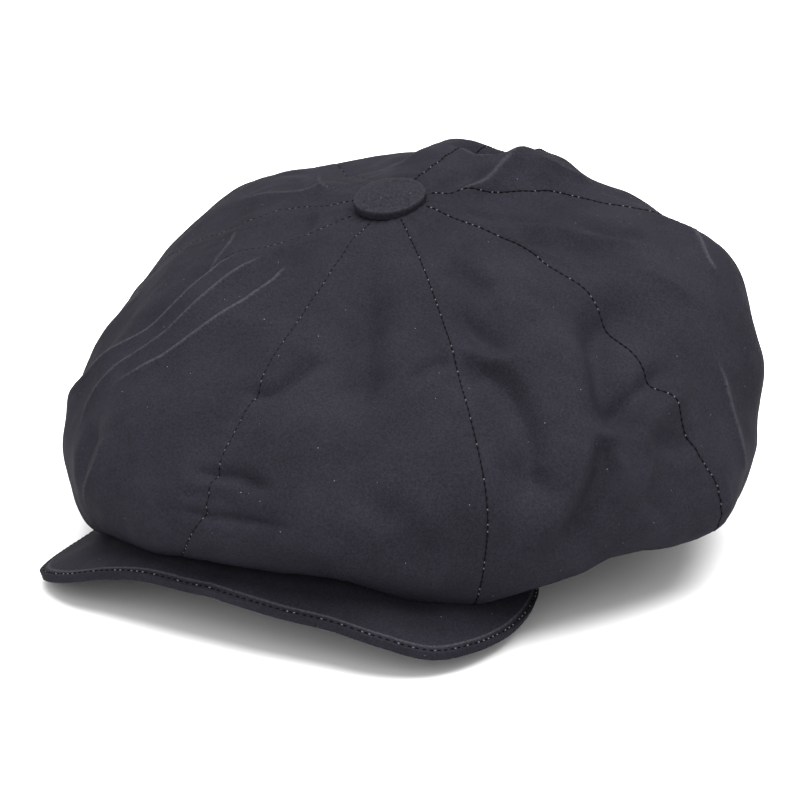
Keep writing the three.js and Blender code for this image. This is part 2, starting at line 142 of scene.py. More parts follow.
FOLDS = (
    Fold("right long crease, rear", ((306, 0.23), (316, 0.31), (315, 0.42), (304, 0.56), (301, 0.64)),
         0.0028, 0.003, Crest.SHARP, lean=3.0, wear_and_highlight=0.55, ends=0.2),
    Fold("right long crease, middle", ((319, 0.19), (324, 0.28), (325, 0.38), (317, 0.53), (318, 0.61)),
         0.0025, 0.0026, Crest.SHARP, lean=2.4, wear_and_highlight=0.5, ends=0.2),
    Fold("right long crease, front", ((334, 0.2), (339, 0.25), (336, 0.34), (331, 0.43), (320, 0.55)),
         0.0025, 0.0026, Crest.SHARP, lean=3.0, wear_and_highlight=0.55, ends=0.2),
    Fold("right corner crease", ((331, 0.57), (332, 0.64), (327, 0.75)), 0.0028, 0.002, Crest.SHARP,
         lean=2.5, wear_and_highlight=0.4),
    Fold("right corner dent", ((324, 0.56), (325, 0.63), (326, 0.71)), 0.006, -0.0035),
    Fold("right short crease", ((280, 0.25), (292, 0.26), (303, 0.28), (314, 0.33)), 0.0028, 0.0018,
         Crest.SHARP, wear_and_highlight=0.4),
    Fold("right top facet", ((300, 0.08), (298, 0.16), (296, 0.24)), 0.009, -0.0028),
    Fold("right rear hollow", ((303, 0.26), (310, 0.38), (303, 0.5)), 0.009, -0.0034),
    Fold("right top ridge", ((259, 0.33), (259, 0.24), (257, 0.14), (245, 0.07)), 0.006, 0.0016,
         Crest.FIRM, wear_and_highlight=0.35),
    Fold("button side fold", ((262, 0.08), (250, 0.14), (236, 0.2)), 0.006, 0.0028, Crest.FIRM, wear_and_highlight=0.3),
    Fold("front valley", ((11, 0.1), (20, 0.25), (22, 0.35), (24, 0.41), (27, 0.49)), 0.012, -0.0072,
         lean=0.75),
    Fold("left shoulder swell", ((138, 0.38), (129, 0.47), (119, 0.57)), 0.023, 0.0044,
         ends=0.5),
    Fold("left flank dent", ((118, 0.61), (115, 0.67), (114, 0.73)), 0.019, -0.0028,
         ends=0.5),
    Fold("front seam dent", ((353, 0.45), (1, 0.44), (4, 0.43), (10, 0.38), (18, 0.36)), 0.0038, -0.0042,
         Crest.FIRM),
    Fold("front wrinkle, upper", ((353, 0.59), (1, 0.58), (6, 0.58), (12, 0.6)), 0.0034, -0.0042,
         Crest.FIRM),
    Fold("front wrinkle, middle", ((353, 0.63), (6, 0.62)), 0.003, -0.0024),
    Fold("front wrinkle, lower", ((350, 0.67), (0, 0.665), (9, 0.66), (18, 0.67)), 0.0042, -0.0044,
         Crest.FIRM),
    Fold("front low hollow", ((22, 0.58), (31, 0.63), (34, 0.69), (38, 0.75)), 0.008, -0.005),
    Fold("brow dent", ((33, 0.41), (39, 0.38), (45, 0.375)), 0.0035, -0.0028, Crest.FIRM),
    Fold("temple hollow", ((45, 0.36), (51, 0.405), (54, 0.46), (54, 0.53), (53, 0.57), (56, 0.63)),
         0.011, -0.0066, lean=0.5, ends=0.2),
    Fold("temple ridge, top", ((46, 0.36), (51, 0.38), (58, 0.415)), 0.003, 0.0016),
    Fold("temple ridge", ((75, 0.4), (70, 0.43), (65, 0.49), (61, 0.56), (57, 0.62)), 0.009, 0.0032),
    Fold("button dent, front", ((57, 0.18), (59, 0.24), (63, 0.29)), 0.005, -0.0032),
    Fold("button dent, side", ((48, 0.27), (51, 0.33), (54, 0.36), (58, 0.4)), 0.005, -0.004),
    Fold("side valley", ((99, 0.35), (88, 0.39), (79, 0.41), (75, 0.45), (72, 0.51), (70, 0.56)),
         0.010, -0.0076, lean=1.1, ends=0.2),
    Fold("ear valley", ((92, 0.5), (84, 0.5), (76, 0.52), (70, 0.56)), 0.0055, -0.0044),
    Fold("ear ridge", ((94, 0.5), (86, 0.53), (79, 0.545), (71, 0.575)), 0.0065, 0.0034),
    Fold("ear hollow", ((75, 0.57), (82, 0.585), (87, 0.62)), 0.006, -0.0036),
    Fold("jaw ridge, front", ((67, 0.52), (61, 0.58), (58, 0.63), (53, 0.68), (50, 0.74)), 0.006, 0.0042,
         Crest.FIRM, wear_and_highlight=0.1, ends=0.2),
    Fold("jaw ridge, rear", ((69, 0.53), (68, 0.57), (68, 0.62), (66, 0.67)), 0.0042, 0.0032, Crest.FIRM,
         wear_and_highlight=0.1, ends=0.2),
    Fold("jaw hollow", ((67, 0.54), (65, 0.59), (62, 0.65), (58, 0.72)), 0.0055, -0.0046, ends=0.2),
    Fold("cheek hollow", ((74, 0.62), (77, 0.67), (74, 0.72)), 0.012, -0.003),
    Fold("left back crease", ((101, 0.5), (100, 0.57), (99, 0.66), (101, 0.73)), 0.003, 0.0024,
         Crest.SHARP, wear_and_highlight=0.5),
    Fold("left seam crease", ((134, 0.38), (120, 0.41), (116, 0.45)), 0.003, 0.0024, Crest.SHARP,
         wear_and_highlight=0.5),
    Fold("left top dent, rear", ((102, 0.08), (114, 0.16), (116, 0.22)), 0.0045, -0.0024),
    Fold("left top dent, middle", ((97, 0.19), (102, 0.24), (106, 0.31)), 0.005, -0.0032),
    Fold("left top dent, side", ((119, 0.24), (117, 0.29), (121, 0.33)), 0.004, -0.0024),
    Fold("left top ridge, upper", ((104, 0.16), (110, 0.22), (110, 0.28), (113, 0.32)), 0.003, 0.0018,
         wear_and_highlight=0.15),
    Fold("left top ridge, lower", ((90, 0.1), (96, 0.16), (91, 0.22), (93, 0.27), (105, 0.34)), 0.003,
         0.0016, wear_and_highlight=0.15),
    Fold("left shoulder ridge", ((101, 0.34), (103, 0.39), (103, 0.44)), 0.0045, 0.0028, Crest.FIRM,
         wear_and_highlight=0.2),
    Fold("back ridge, far", ((188, 0.22), (169, 0.16), (159, 0.2)), 0.004, 0.0026, Crest.FIRM, wear_and_highlight=0.4),
    Fold("back hollow", ((186, 0.24), (172, 0.23), (166, 0.3)), 0.009, -0.007),
    Fold("back ridge", ((132, 0.04), (143, 0.11), (155, 0.18), (163, 0.26), (167, 0.33)), 0.005, 0.0045,
         Crest.FIRM, wear_and_highlight=0.4, ends=0.2),
    Fold("back fold hollow", ((152, 0.03), (152, 0.09), (157, 0.16)), 0.006, -0.0045),
    Fold("back hump", ((146, 0.19), (153, 0.25), (158, 0.33)), 0.012, 0.006),
    Fold("hump crest", ((154, 0.21), (150, 0.26), (148, 0.31)), 0.0035, 0.0018, Crest.FIRM, wear_and_highlight=0.3),
    Fold("back top ridge", ((196, 0.1), (192, 0.2), (188, 0.34)), 0.009, 0.0036),
    Fold("back right dent", ((232, 0.3), (229, 0.42), (226, 0.56)), 0.011, -0.0045),
    Fold("back left dent", ((166, 0.42), (168, 0.55), (172, 0.68)), 0.011, -0.0045),
    Fold("nape wrinkle", ((192, 0.62), (203, 0.63), (214, 0.66)), 0.008, -0.0036),
    Fold("right side dent", ((276, 0.5), (274, 0.6), (270, 0.7)), 0.009, -0.0036),
)

# How far each seam strays from its even place: a share of the way down and degrees, for the seams
# that the slumped cloth has carried along.
SEAM_BENDS = {
    0: ((0, 0), (0.66, 0), (0.7, -1), (0.76, -4), (0.84, -7.5), (1, 0)),
    2: ((0, 0), (0.08, -3), (0.2, 0), (0.28, -3), (0.38, -4), (0.46, -6), (0.54, -5), (0.62, -3), (0.7, 0),
        (0.78, 1), (1, 0)),
    3: ((0, 0), (0.1, 3), (0.2, 6), (0.3, 4), (0.4, 0), (1, 0)),
    6: ((0, 0), (0.08, 6), (0.16, 4), (0.25, 9), (0.34, 6), (0.5, 0), (1, 0)),
    7: ((0, 0), (0.1, 4), (0.19, -2), (0.25, -9), (0.32, -3), (0.44, -5), (0.56, -13), (0.64, -15),
        (0.8, -6), (1, 0)),
}


def smooth_rows(knots: Array, values: Array, where: Array, turn: float = 0.0) -> Array:
    """Smooth values between the rows of a table.

    Args:
        knots: Where each row stands, in rising order.
        values: One row of values for each knot.
        where: Places to work out.
        turn: Length of one turn if the table closes on itself, or 0.

    Returns:
        One row of values for each place.
    """
    if turn:
        knots = np.concatenate([knots[-1:] - turn, knots, knots[:2] + turn])
        values = np.concatenate([values[-1:], values, values[:2]])
        where = np.mod(where, turn)
    else:
        knots = np.concatenate([knots[:1], knots, knots[-1:]])
        values = np.concatenate([values[:1], values, values[-1:]])
    start = np.clip(np.searchsorted(knots[1:-1], where, side="right"), 1, len(knots) - 3)
    span = knots[start + 1] - knots[start]
    share = ((where - knots[start]) / span)[:, None]
    before, first, last, after = (values[start + i] for i in (-1, 0, 1, 2))
    first_slope = (last - before) / (knots[start + 1] - knots[start - 1])[:, None] * span[:, None]
    last_slope = (after - first) / (knots[start + 2] - knots[start])[:, None] * span[:, None]
    square = share ** 2
    cube = share ** 3
    return ((2 * cube - 3 * square + 1) * first + (cube - 2 * square + share) * first_slope
            + (3 * square - 2 * cube) * last + (cube - square) * last_slope)


def ease(start: float, end: float, value: Array) -> Array:
    """Smooth step from 0 at start to 1 at end."""
    share = np.clip((value - start) / (end - start), 0, 1)
    return share * share * (3 - 2 * share)


def from_front(azimuth: Array) -> Array:
    """Azimuth as a signed angle from the front, positive to the wearer's left."""
    return np.mod(azimuth + TURN / 2, TURN) - TURN / 2


def unit(vectors: Array) -> Array:
    """Vectors scaled to a length of one."""
    return vectors / np.maximum(np.linalg.norm(vectors, axis=1, keepdims=True), 1e-12)


def round_head(azimuth: Array, radius: Array, height: Array) -> Array:
    """Points at an azimuth, radius and height about the head's centre."""
    angle = np.radians(azimuth)
    return np.stack([radius * np.sin(angle), -radius * np.cos(angle), height], axis=1)


@dataclass(frozen=True)
class Ripple:
    """Faint unevenness of soft cloth: many waves that cross at seeded angles."""

    wavelength: float
    height: float
    seed: int
    waves: int = 36

    def at(self, points: Array) -> Array:
        """Height of the ripple at each point."""
        draw = np.random.default_rng(self.seed)
        headings = unit(draw.normal(size=(self.waves, 3)))
        lengths = self.wavelength * draw.uniform(0.7, 1.5, self.waves)
        phases = draw.uniform(0, 2 * math.pi, self.waves)
        turns = points @ (headings * (2 * math.pi / lengths)[:, None]).T + phases
        return self.height * np.sin(turns).sum(axis=1) * math.sqrt(2 / self.waves)


@dataclass
class CrownForm:
    """Form of the head, the peak and the crown that every piece is worked out from."""

    head_length: float = 0.200
    head_width: float = 0.168
    band_wall: float = 0.002
    band_height: float = 0.030
    front_lift: float = 0.030
    rest_share: float = 0.5
    lift_bend: float = 1.3
    reach: float = 0.150
    height: float = 0.140
    wall: float = 0.0014
    tilt_left: float = 0.0
    tilt_back: float = 0.28
    tip_radius: float = 0.0025
    button_diameter: float = 0.029
    peak_depth: float = 0.055
    peak_thickness: float = 0.0035
    peak_arch: float = 0.021
    peak_half_angle: float = 70.0
    clearance: float = 0.0003
    centre: Array = field(default_factory=lambda: np.zeros(3))

    def __post_init__(self) -> None:
        """Read the tables into arrays, and the head's centre off the sweatband."""
        low, high = (np.array(corner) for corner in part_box("sweatband"))
        self.centre = np.array([*((low + high) / 2)[:2], 0.0])
        self.section_at = np.array([row.at for row in SECTIONS], float)
        self.sections = np.array(
            [[*row.crest, *row.shoulder, *row.belly, *row.fold] for row in SECTIONS], float)
        self.peak_at = np.array([row.at for row in PEAK_ROWS], float)
        self.peak_rows = np.array([[row.depth, row.left_rise, row.right_rise] for row in PEAK_ROWS], float)

    def head_radius(self, azimuth: Array) -> Array:
        """Radius of the head oval at each azimuth."""
        angle = np.radians(azimuth)
        half_width = self.head_width / 2
        half_length = self.head_length / 2
        return half_width * half_length / np.hypot(half_length * np.sin(angle), half_width * np.cos(angle))

    def band_foot(self, azimuth: Array) -> Array:
        """Height of the band's lower edge: on the surface behind, lifted by the peak in front."""
        half_length = self.head_length / 2
        back = -self.head_radius(azimuth) * np.cos(np.radians(azimuth))
        leave = half_length * self.rest_share
        share = np.maximum(0, (leave - back) / (leave + half_length))
        return self.front_lift * share ** self.lift_bend

    def band_seat(self, azimuth: Array) -> Array:
        """Radius at which the pieces outside the band start."""
        return self.head_radius(azimuth) + self.band_wall + self.clearance

    def peak_edge(self, azimuth: Array) -> tuple[Array, Array]:
        """Radius and height of the peak's edge at each azimuth."""
        side = from_front(azimuth)
        at = np.minimum(np.abs(side) / self.peak_half_angle, 1)
        rows = smooth_rows(self.peak_at, self.peak_rows, at)
        rise = np.where(side >= 0, rows[:, 1], rows[:, 2])
        radius = self.band_seat(azimuth) + self.peak_depth * rows[:, 0]
        return radius, self.peak_thickness + self.peak_arch * rise

    def peak_top(self, azimuth: Array, share: Array) -> Array:
        """Height of the peak's upper face at a share of the way from the band to its edge."""
        root = self.band_foot(azimuth) + self.peak_thickness
        return root + (self.peak_edge(azimuth)[1] - root) * share

    def stations(self, azimuth: Array) -> Array:
        """Control points, each a reach and a height, of the section at each azimuth."""
        shares = smooth_rows(self.section_at, self.sections, azimuth, TURN)
        angle = np.radians(azimuth)
        seat = self.button_diameter / 2 + self.wall
        slope = self.tilt_left * np.sin(angle) - self.tilt_back * np.cos(angle)
        points = np.empty((len(azimuth), 7, 2))
        points[:, 0] = (0, self.height)
        points[:, 1, 0] = seat
        points[:, 1, 1] = self.height + slope * seat
        points[:, 2:6] = shares.reshape(-1, 4, 2) * (self.reach, self.height)
        points[:, 6, 0] = self.band_seat(azimuth)
        points[:, 6, 1] = self.band_foot(azimuth) + self.peak_thickness + self.wall
        return points

    def bare(self, azimuth: Array, share: Array) -> Array:
        """Points of the bare crown, before its folds, about the head's centre."""
        stations = self.stations(azimuth)
        steps = np.sqrt(np.linalg.norm(np.diff(stations[:, 1:], axis=1), axis=2))
        ends = np.cumsum(steps, axis=1)
        left = share * ends[:, -1]
        index = (left[:, None] > ends[:, :-1]).sum(axis=1)
        rows = np.arange(len(azimuth))
        starts = np.concatenate([np.zeros((len(azimuth), 1)), ends], axis=1)
        weight = np.minimum((left - starts[rows, index]) / steps[rows, index], 1)[:, None]
        p0, p1, p2, p3 = (stations[rows, np.minimum(index + i, 6)] for i in range(4))
        dt0, dt1, dt2 = (np.sqrt(np.linalg.norm(b - a, axis=1))[:, None]
                         for a, b in ((p0, p1), (p1, p2), (p2, p3)))
        dt2 = np.where(dt2 < 1e-4, dt1, dt2)
        slope1 = ((p1 - p0) / dt0 - (p2 - p0) / (dt0 + dt1) + (p2 - p1) / dt1) * dt1
        slope2 = ((p2 - p1) / dt1 - (p3 - p1) / (dt1 + dt2) + (p3 - p2) / dt2) * dt1
        curve = (p1 + slope1 * weight + (3 * (p2 - p1) - 2 * slope1 - slope2) * weight ** 2
                 + (2 * (p1 - p2) + slope1 + slope2) * weight ** 3)
        return round_head(azimuth, curve[:, 0], curve[:, 1])

    def outward(self, azimuth: Array, share: Array) -> Array:
        """Outward direction of the bare crown."""
        turn = 2.0
        step = 0.02
        above = self.bare(azimuth, np.maximum(share - step, 0))
        down = self.bare(azimuth, np.minimum(share + step, 1)) - above
        round_ = self.bare(azimuth + turn, share) - self.bare(azimuth - turn, share)
        return unit(np.cross(down, round_))

    def rest_on_peak(self, points: Array) -> Array:
        """Lift the points that would sink into the peak onto it."""
        azimuth = np.degrees(np.arctan2(points[:, 0], -points[:, 1]))
        radius = np.hypot(points[:, 0], points[:, 1])
        seat = self.band_seat(azimuth)
        share = (radius - seat) / (self.peak_edge(azimuth)[0] - seat)
        over = (np.abs(from_front(azimuth)) <= self.peak_half_angle) & (share <= 1)
        floor = self.peak_top(azimuth, np.maximum(share, 0)) + self.clearance
        rested = points.copy()
        rested[:, 2] = np.where(over, np.maximum(points[:, 2], floor), points[:, 2])
        return rested


@dataclass
class FoldedCloth:
    """Adds folds, seam puckers and unevenness to the bare crown."""

    form: CrownForm
    panels: int = 8
    path_steps: int = 14
    ditch_width: float = 0.0008
    ditch_depth: float = 0.0002
    allowance_width: float = 0.0085
    allowance_height: float = 0.0003
    pucker_pitch: float = 0.016
    pucker_depth: float = 0.00022
    pucker_reach: float = 0.009
    ripples: tuple[Ripple, ...] = (Ripple(0.05, 0.0007, 5), Ripple(0.024, 0.0003, 6),
                                   Ripple(0.011, 0.00008, 7))

    def trace(self, fold: Fold) -> Array:
        """Points of a fold's path on the bare crown."""
        places = np.array(fold.path, float)
        places[:, 0] = places[0, 0] + from_front(places[:, 0] - places[0, 0])
        knots = np.arange(len(places), dtype=float)
        where = np.linspace(0, knots[-1], self.path_steps)
        smooth = smooth_rows(knots, places, where)
        return self.form.bare(smooth[:, 0], smooth[:, 1])

    def fold_height(self, fold: Fold, points: Array, normals: Array) -> tuple[Array, Array]:
        """Height that one fold adds, and how pale it paints its crest, for rubbed wax and a painted
        highlight.

        Args:
            fold: The fold.
            points: Points of the bare crown.
            normals: Its outward direction at each point.

        Returns:
            Height and crest paleness, rubbed wax and painted highlight, at each point.
        """
        height = np.zeros(len(points))
        wear_and_highlight = np.zeros(len(points))
        line = self.trace(fold)
        margin = 4 * fold.width * max(fold.lean, 1)
        near = ((points > line.min(axis=0) - margin) & (points < line.max(axis=0) + margin)).all(axis=1)
        if not near.any():
            return height, wear_and_highlight
        here = points[near][:, None]
        start, run = line[:-1], np.diff(line, axis=0)
        along = np.clip(((here - start) * run).sum(axis=2) / (run ** 2).sum(axis=1), 0, 1)
        offset = here - (start + along[..., None] * run)
        distance = np.linalg.norm(offset, axis=2)
        nearest = distance.argmin(axis=1)
        rows = np.arange(len(nearest))
        share = (nearest + along[rows, nearest]) / len(run)
        taper = ease(0, fold.ends, share) * ease(0, fold.ends, 1 - share)
        across = distance[rows, nearest]
        left = (np.cross(run[nearest], offset[rows, nearest]) * normals[near]).sum(axis=1) > 0
        width = fold.width * np.where(left, fold.lean, 1)
        height[near] = fold.depth * taper * np.exp(-(across / width) ** fold.crest.value)
        crest_width = 0.0012
        # Pale crest: partly rubbed wax, partly a painted highlight.
        wear_and_highlight[near] = fold.wear_and_highlight * taper * np.exp(-(across / crest_width) ** 2)
        return height, wear_and_highlight

    def seam_azimuth(self, index: int, share: Array) -> Array:
        """Azimuth of one seam at each share of the way down."""
        even = np.full(len(share), TURN / self.panels * index)
        bends = SEAM_BENDS.get(index % self.panels)
        if bends is None:
            return even
        rows = np.array(bends, float)
        return even + smooth_rows(rows[:, 0], rows[:, 1:], share)[:, 0]

    def seam_height(self, azimuth: Array, share: Array, points: Array) -> Array:
        """Height that the sewn seams add: a ditch, the allowance beside it and its puckers."""
        angles = np.stack([from_front(azimuth - self.seam_azimuth(i, share)) for i in range(self.panels)])
        seam = np.abs(angles).argmin(axis=0)
        radius = np.hypot(points[:, 0], points[:, 1])
        offset = np.radians(angles[seam, np.arange(len(seam))]) * radius
        away = np.abs(offset)
        down = share * 1.6 * self.form.reach
        ditch = -self.ditch_depth * np.exp(-(away / self.ditch_width) ** 2)
        allowance = self.allowance_height * (1 - ease(0.75, 1.1, away / self.allowance_width)) * (offset > 0)
        phase = seam * 2.4
        pitch = self.pucker_pitch * (1 + 0.25 * np.sin(down / 0.031 + phase))
        swell = 0.5 + 0.5 * np.sin(down / 0.017 + 2 * phase)
        pucker = self.pucker_depth * swell * np.sin(2 * math.pi * down / pitch + phase + offset / 0.012)
        pucker = pucker * np.exp(-(away / self.pucker_reach) ** 2)
        ends = ease(0.0, 0.05, share) * ease(0.0, 0.08, 1 - share)
        return ditch * ends + allowance * ends + pucker * ends

    def gather_height(self, azimuth: Array, share: Array) -> Array:
        """Height of the short puckers where the panels' tips are gathered under the button."""
        fade = np.exp(-(share / 0.07) ** 2)
        return fade * 0.00015 * np.sin(np.radians(azimuth) * 24 + 1.2 * np.sin(np.radians(azimuth) * 3))

    def shape(self, azimuth: Array, share: Array) -> tuple[Array, Array]:
        """Points of the dressed crown, in the shared frame, and the paleness of its crests: rubbed wax and
        painted highlight.
        """
        bare = self.form.bare(azimuth, share)
        normals = self.form.outward(azimuth, share)
        height = np.zeros(len(bare))
        wear_and_highlight = np.zeros(len(bare))
        for fold in FOLDS:
            more, rubbed_and_highlit = self.fold_height(fold, bare, normals)
            height += more
            wear_and_highlight = np.maximum(wear_and_highlight, rubbed_and_highlit)
        hem = ease(0.0, 0.12, 1 - share)
        for ripple in self.ripples:
            height += ripple.at(bare) * hem
        height += self.seam_height(azimuth, share, bare)
        height += self.gather_height(azimuth, share)
        points = self.form.rest_on_peak(bare + normals * height[:, None])
        return points + self.form.centre, wear_and_highlight


def deselect() -> None:
    """Clear the selection, so that an operator acts on the new piece alone."""
    bpy.ops.object.select_all(action="DESELECT")


def positions(piece: bpy.types.Object) -> Array:
    """Corner positions of a mesh as an array."""
    flat = np.empty(len(piece.data.vertices) * 3)
    piece.data.vertices.foreach_get("co", flat)
    return flat.reshape(-1, 3)


def place_corners(piece: bpy.types.Object, points: Array) -> None:
    """Move a mesh's corners to the given positions."""
    piece.data.vertices.foreach_set("co", points.ravel())
    piece.data.update()


def write_attribute(piece: bpy.types.Object, name: str, values: Array) -> None:
    """Store one number for each corner of a mesh."""
    attribute = piece.data.attributes.new(name, "FLOAT", "POINT")
    attribute.data.foreach_set("value", values.astype(np.float32))


def write_uv(piece: bpy.types.Object, across: Array, along: Array) -> None:
    """Lay the cloth's own map over a mesh, in metres across and along the cut."""
    corner = np.empty(len(piece.data.loops), dtype=np.int32)
    piece.data.loops.foreach_get("vertex_index", corner)
    uv = np.stack([across[corner], along[corner]], axis=1)
    piece.data.uv_layers.active.data.foreach_set("uv", uv.ravel())


def apply_modifier(piece: bpy.types.Object, kind: str, **settings: object) -> None:
    """Add a modifier with its settings and apply it.

    Args:
        piece: The object that it changes.
        kind: Blender's name of the modifier's type.
        settings: Values of the modifier's properties.
    """
    deselect()
    piece.select_set(True)
    bpy.context.view_layer.objects.active = piece
    modifier = piece.modifiers.new(kind.title(), kind)
    for name, value in settings.items():
        setattr(modifier, name, value)
    bpy.ops.object.modifier_apply(modifier=modifier.name)


def grid_piece(name: str, columns: int, rows: int) -> tuple[bpy.types.Object, Array, Array]:
    """Add a grid to shape.

    Args:
        name: Name of the new object.
        columns: Faces across.
        rows: Faces along.

    Returns:
        The object, and how far across and along the grid each corner stands, from 0 to 1.
    """
    deselect()
    bpy.ops.mesh.primitive_grid_add(x_subdivisions=columns, y_subdivisions=rows, size=1)
    piece = bpy.context.object
    piece.name = name
    piece.data.name = name
    flat = positions(piece)
    return piece, flat[:, 0] + 0.5, flat[:, 1] + 0.5


def finish_piece(piece: bpy.types.Object, material: bpy.types.Material, slot: str, *nodes: str) -> None:
    """Dress a piece, attach it to its body and hide the CAD nodes that it stands for.

    Args:
        piece: The finished piece.
        material: Its finish.
        slot: Name of a record slot; not used.
        nodes: CAD nodes that it replaces.
    """
    piece.data.materials.clear()
    piece.data.materials.append(material)
    piece.data.shade_smooth()
    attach(piece, BODY)
    if nodes:
        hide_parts(*nodes)
    log.info("%s: %d faces", piece.name, len(piece.data.polygons))


def linear(code: str) -> tuple[float, float, float, float]:
    """Linear colour of an sRGB hex code such as #38373E."""
    channels = (int(code[i:i + 2], 16) / 255 for i in (1, 3, 5))
    return (*(c / 12.92 if c <= 0.04045 else ((c + 0.055) / 1.055) ** 2.4 for c in channels), 1.0)


def add_node(tree: bpy.types.NodeTree, kind: str, inputs: dict | None = None,
             **settings: object) -> bpy.types.Node:
    """Add a node with its settings and links.

    Args:
        tree: The material's node tree.
        kind: Type of the node, without its ShaderNode prefix.
        inputs: Value or linked socket for each input, by name or index.
        settings: Values of the node's properties.

    Returns:
        The node.
    """
    made = tree.nodes.new("ShaderNode" + kind)
    for name, value in settings.items():
        setattr(made, name, value)
    for name, value in (inputs or {}).items():
        if isinstance(value, bpy.types.NodeSocket):
            tree.links.new(value, made.inputs[name])
        else:
            made.inputs[name].default_value = value
    return made


def new_material(name: str) -> tuple[bpy.types.Material, bpy.types.NodeTree]:
    """Empty material and its node tree."""
    material = bpy.data.materials.new(name)
    material.use_nodes = True
    material.node_tree.nodes.clear()
    return material, material.node_tree


@dataclass(frozen=True)
class WaxedCotton:
    """Plain-woven cotton, dyed near black and impregnated with wax.

    The wax fills the weave, so the cloth is matte and even. Along the crests of creases it is painted
    paler, partly where the wax is rubbed and partly as a painted highlight; it holds a few specks of
    lint, and is darker and bluer where the wax lies thick.
    """

    name: str = "waxed_cotton_plain_woven"
    cloth: str = "#201F25"
    thick_wax: str = "#1C1B20"
    # Pale colour of the crease crests: rubbed wax and a painted highlight.
    rubbed_and_highlit: str = "#454449"
    lint: str = "#6E6E72"
    roughness: float = 0.72
    roughness_spread: float = 0.08
    ior: float = 1.44
    specular: float = 0.015
    thread_spacing: float = 0.0006  # drawn coarser than the real 0.3 mm, which is too fine to show
    weave_depth: float = 0.00005
    mottle_size: float = 0.030
    grain_size: float = 0.0009
    grain_depth: float = 0.00006
    lint_spacing: float = 0.006
    lint_size: float = 0.00017

    def build(self) -> bpy.types.Material:
        """Material with the cloth's colour, wax, weave, crease crests painted pale for rubbed wax and
        highlight, and lint.
        """
        material, tree = new_material(self.name)
        place = add_node(tree, "TexCoord").outputs["Object"]
        cloth_map = add_node(tree, "TexCoord").outputs["UV"]
        wear_and_highlight = add_node(tree, "Attribute", attribute_name="wear_and_highlight").outputs["Fac"]
        mottle = add_node(tree, "TexNoise", {"Vector": place, "Scale": 1 / self.mottle_size, "Detail": 5.0,
                                             "Roughness": 0.62}).outputs["Fac"]
        patch = add_node(tree, "MapRange", {"Value": mottle, "From Min": 0.38, "From Max": 0.64}).outputs[0]
        colour = add_node(tree, "Mix", {0: patch, 6: linear(self.thick_wax), 7: linear(self.cloth)},
                          data_type="RGBA").outputs[2]
        grain = add_node(tree, "TexNoise", {"Vector": place, "Scale": 1 / self.grain_size, "Detail": 3.0,
                                            "Roughness": 0.7}).outputs["Fac"]
        fleck = add_node(tree, "MapRange", {"Value": grain, "From Min": 0.3, "From Max": 0.7, "To Min": 0.72,
                                            "To Max": 1.3}).outputs[0]
        shade = add_node(tree, "Mix", {0: 1.0, 6: colour, 7: fleck}, data_type="RGBA",
                         blend_type="MULTIPLY").outputs[2]
        # Crease crests painted paler: partly rubbed wax, partly a painted highlight.
        broken_and_highlit = add_node(tree, "Math", {0: wear_and_highlight, 1: grain}, operation="MULTIPLY").outputs[0]
        pale = add_node(tree, "MapRange", {"Value": broken_and_highlit, "From Min": 0.08, "From Max": 0.55}).outputs[0]
        creased_and_highlit = add_node(tree, "Mix", {0: pale, 6: shade, 7: linear(self.rubbed_and_highlit)},
                           data_type="RGBA").outputs[2]
        cells = add_node(tree, "TexVoronoi", {"Vector": place,
                                              "Scale": 1 / self.lint_spacing}).outputs["Distance"]
        speck = add_node(tree, "Math", {0: cells, 1: self.lint_size / self.lint_spacing},
                         operation="LESS_THAN").outputs[0]
        final = add_node(tree, "Mix", {0: speck, 6: creased_and_highlit, 7: linear(self.lint)},
                         data_type="RGBA").outputs[2]
        gloss = add_node(tree, "MapRange", {"Value": mottle, "From Min": 0.3, "From Max": 0.7,
                                            "To Min": self.roughness + self.roughness_spread / 2,
                                            "To Max": self.roughness - self.roughness_spread / 2}).outputs[0]
        bump = self.relief(tree, cloth_map, grain)
        shader = add_node(tree, "BsdfPrincipled", {
            "Base Color": final, "Roughness": gloss, "IOR": self.ior, "Specular IOR Level": self.specular,
            "Normal": bump}).outputs[0]
        add_node(tree, "OutputMaterial", {"Surface": shader})
        return material

    def relief(self, tree: bpy.types.NodeTree, cloth_map: bpy.types.NodeSocket,
               grain: bpy.types.NodeSocket) -> bpy.types.NodeSocket:
        """Normal of the surface, with its two sets of threads and the grain of the wax."""
        turns = math.pi / (10 * self.thread_spacing)
        warp, weft = (add_node(tree, "TexWave", {"Vector": cloth_map, "Scale": turns, "Distortion": 0.6,
                                                 "Detail": 1.0}, bands_direction=axis).outputs["Fac"]
                      for axis in ("X", "Y"))
        weave = add_node(tree, "Math", {0: warp, 1: weft}, operation="MULTIPLY").outputs[0]
        woven = add_node(tree, "Bump", {"Height": weave, "Distance": self.weave_depth,
                                        "Strength": 1.0}).outputs["Normal"]
        return add_node(tree, "Bump", {"Height": grain, "Distance": self.grain_depth, "Strength": 1.0,
                                       "Normal": woven}).outputs["Normal"]


